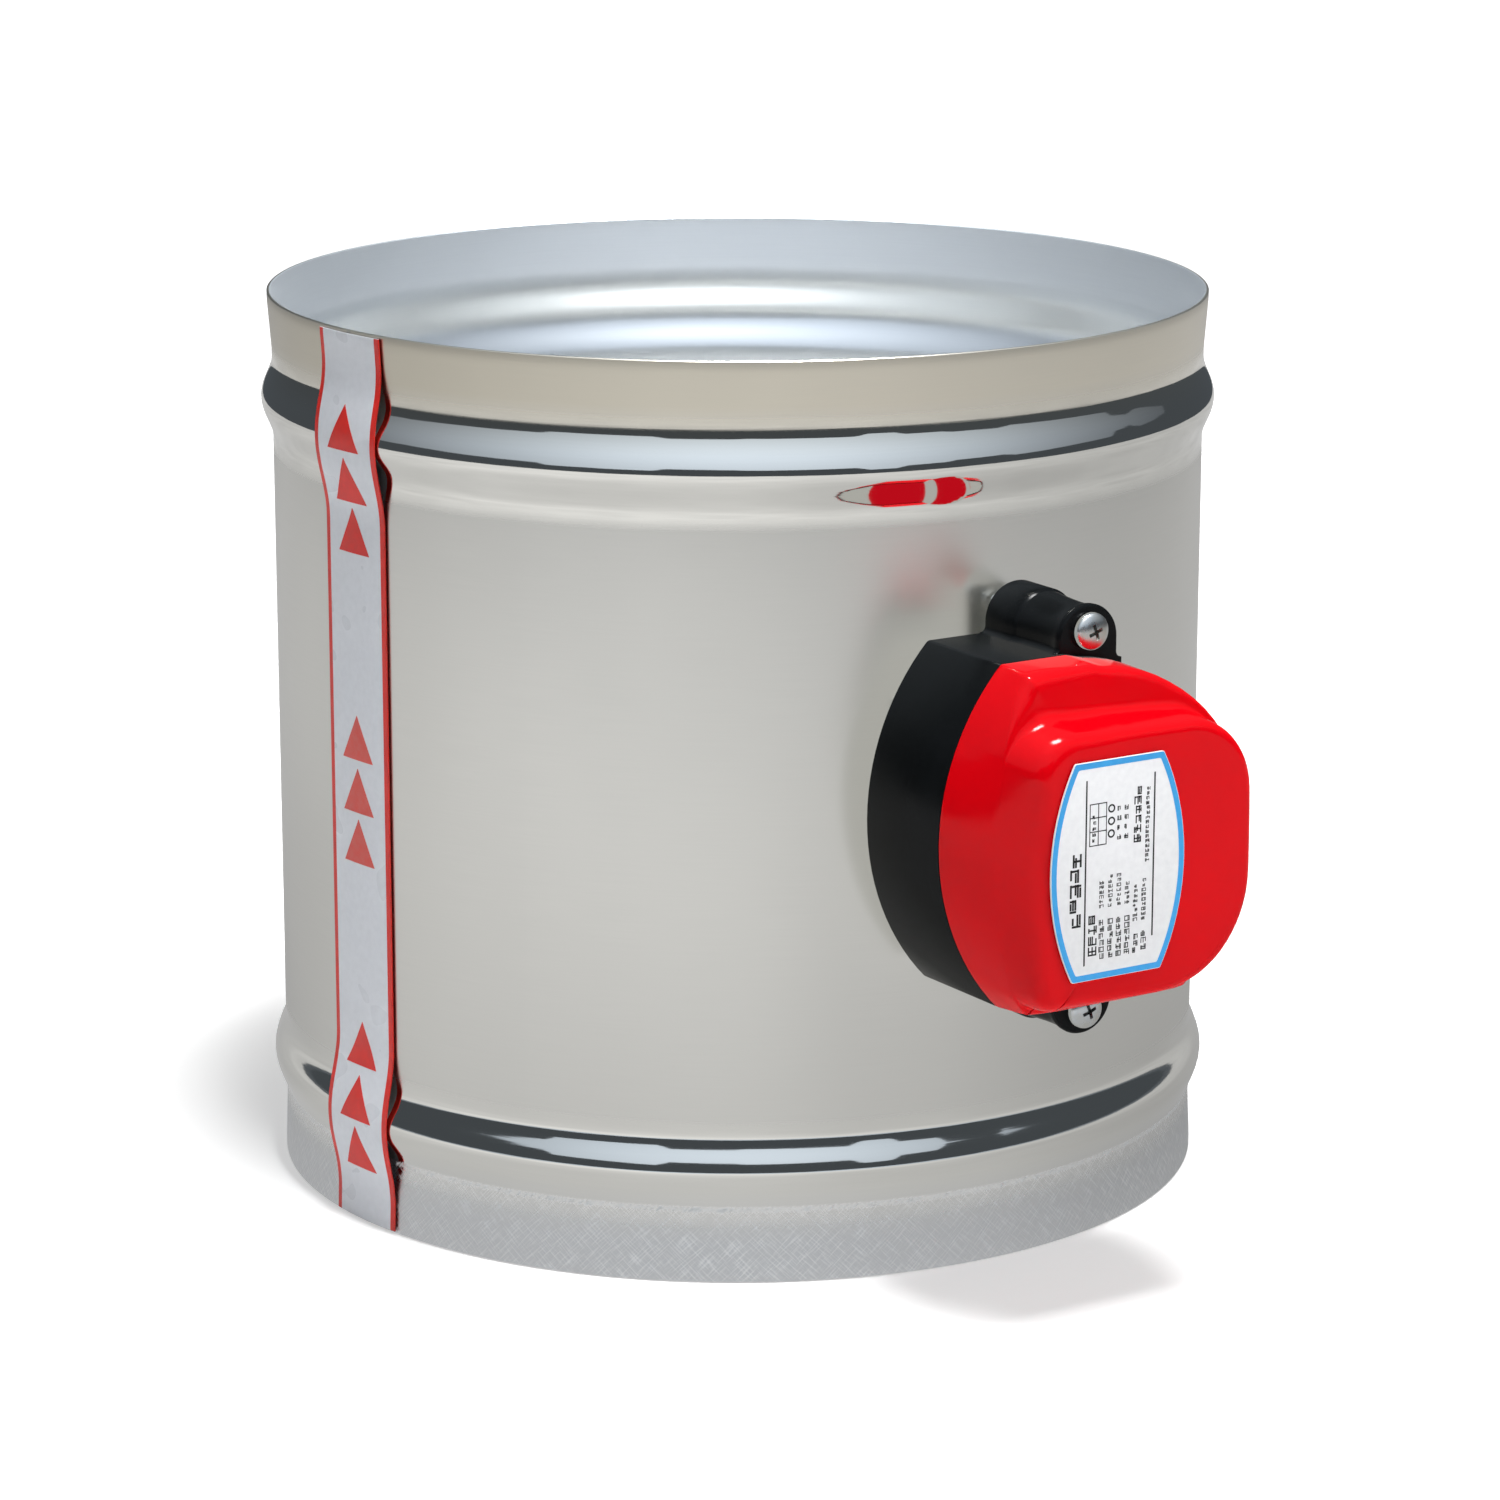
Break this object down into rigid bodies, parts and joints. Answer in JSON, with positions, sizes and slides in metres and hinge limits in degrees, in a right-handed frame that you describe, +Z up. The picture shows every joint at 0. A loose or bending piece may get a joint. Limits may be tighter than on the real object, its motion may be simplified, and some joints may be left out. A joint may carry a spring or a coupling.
{
  "type": "motorized damper",
  "caption": "Round sheet-steel duct section with rolled beads, a turning blade on a cross shaft, and a moulded geared motor actuator on its side.",
  "frame": {"origin": "middle of the part's footprint, on the plane that the lower rim stands on", "axes": "+Z up along the duct's axis, with the flow arrows; the actuator points along -Y and the blade shaft lies along Y; +X to the right of the actuator's face"},
  "size_m": [0.2038, 0.2542, 0.1892],
  "materials": {
    "stainless_steel": "satin polished, with finer scratches on the lower spigot",
    "zinc_plated_steel": "bright zinc plate",
    "bright_steel": "bright turned steel",
    "red_plastic": "gloss moulded red",
    "black_plastic": "semi-gloss moulded black",
    "white_nylon": "natural nylon",
    "black_rubber": "matt rubber",
    "label_film": "satin film with a blue border",
    "tape_film": "satin grey-blue film with red borders and arrow heads",
    "terminal_plastic": "moulded green",
    "switch_plastic": "moulded black"
  },
  "bodies": {
    "duct_section": {"duct_shell": "stainless_steel", "stop_ring_lower": "stainless_steel", "stop_ring_upper": "stainless_steel", "flow_tape": "tape_film", "rating_label": "label_film", "mount_bracket": "zinc_plated_steel", "gear_plate": "zinc_plated_steel", "motor_can": "zinc_plated_steel", "housing_screw_upper": "zinc_plated_steel", "housing_screw_lower": "zinc_plated_steel", "idler_axle": "bright_steel", "cable_grommet": "black_rubber", "shaft_bush_front": "white_nylon", "shaft_bush_rear": "white_nylon", "actuator_base": "black_plastic", "actuator_cover": "red_plastic", "limit_switch_open": "switch_plastic", "limit_switch_closed": "switch_plastic", "terminal_block": "terminal_plastic", "bracket_rivet_1": "bright_steel", "bracket_rivet_2": "bright_steel", "bracket_rivet_3": "bright_steel", "bracket_rivet_4": "bright_steel", "plate_screw_1": "zinc_plated_steel", "plate_screw_2": "zinc_plated_steel", "plate_screw_3": "zinc_plated_steel", "motor_screw_1": "zinc_plated_steel", "motor_screw_2": "zinc_plated_steel"},
    "blade": {"blade_disc": "stainless_steel", "blade_seal": "black_rubber", "blade_shaft": "bright_steel", "blade_clamp_front": "zinc_plated_steel", "blade_clamp_rear": "zinc_plated_steel", "blade_screw_1": "zinc_plated_steel", "blade_screw_2": "zinc_plated_steel", "blade_screw_3": "zinc_plated_steel", "blade_screw_4": "zinc_plated_steel", "shaft_clip": "bright_steel", "output_gear": "white_nylon", "limit_cam": "black_plastic"},
    "idler": {"idler_gear": "white_nylon"},
    "pinion": {"motor_pinion": "bright_steel"}
  },
  "joints": [
    {"name": "blade_turn", "type": "hinge", "parent": "duct_section", "child": "blade", "pos_m": [0, 0.02185, 0.095], "axis": [0, -1, 0], "range_deg": [0, 90]},
    {"name": "idler_turn", "type": "hinge", "parent": "duct_section", "child": "idler", "pos_m": [-0.00804, -0.09, 0.1144], "axis": [0, -1, 0], "range_deg": [-225, 0]},
    {"name": "pinion_turn", "type": "hinge", "parent": "duct_section", "child": "pinion", "pos_m": [0, -0.1, 0.095], "axis": [0, -1, 0], "range_deg": [0, 562.5]}
  ],
  "couplings": [
    {"joint": "idler_turn", "follows": "blade_turn", "ratio": -2.5},
    {"joint": "pinion_turn", "follows": "blade_turn", "ratio": 6.25}
  ]
}
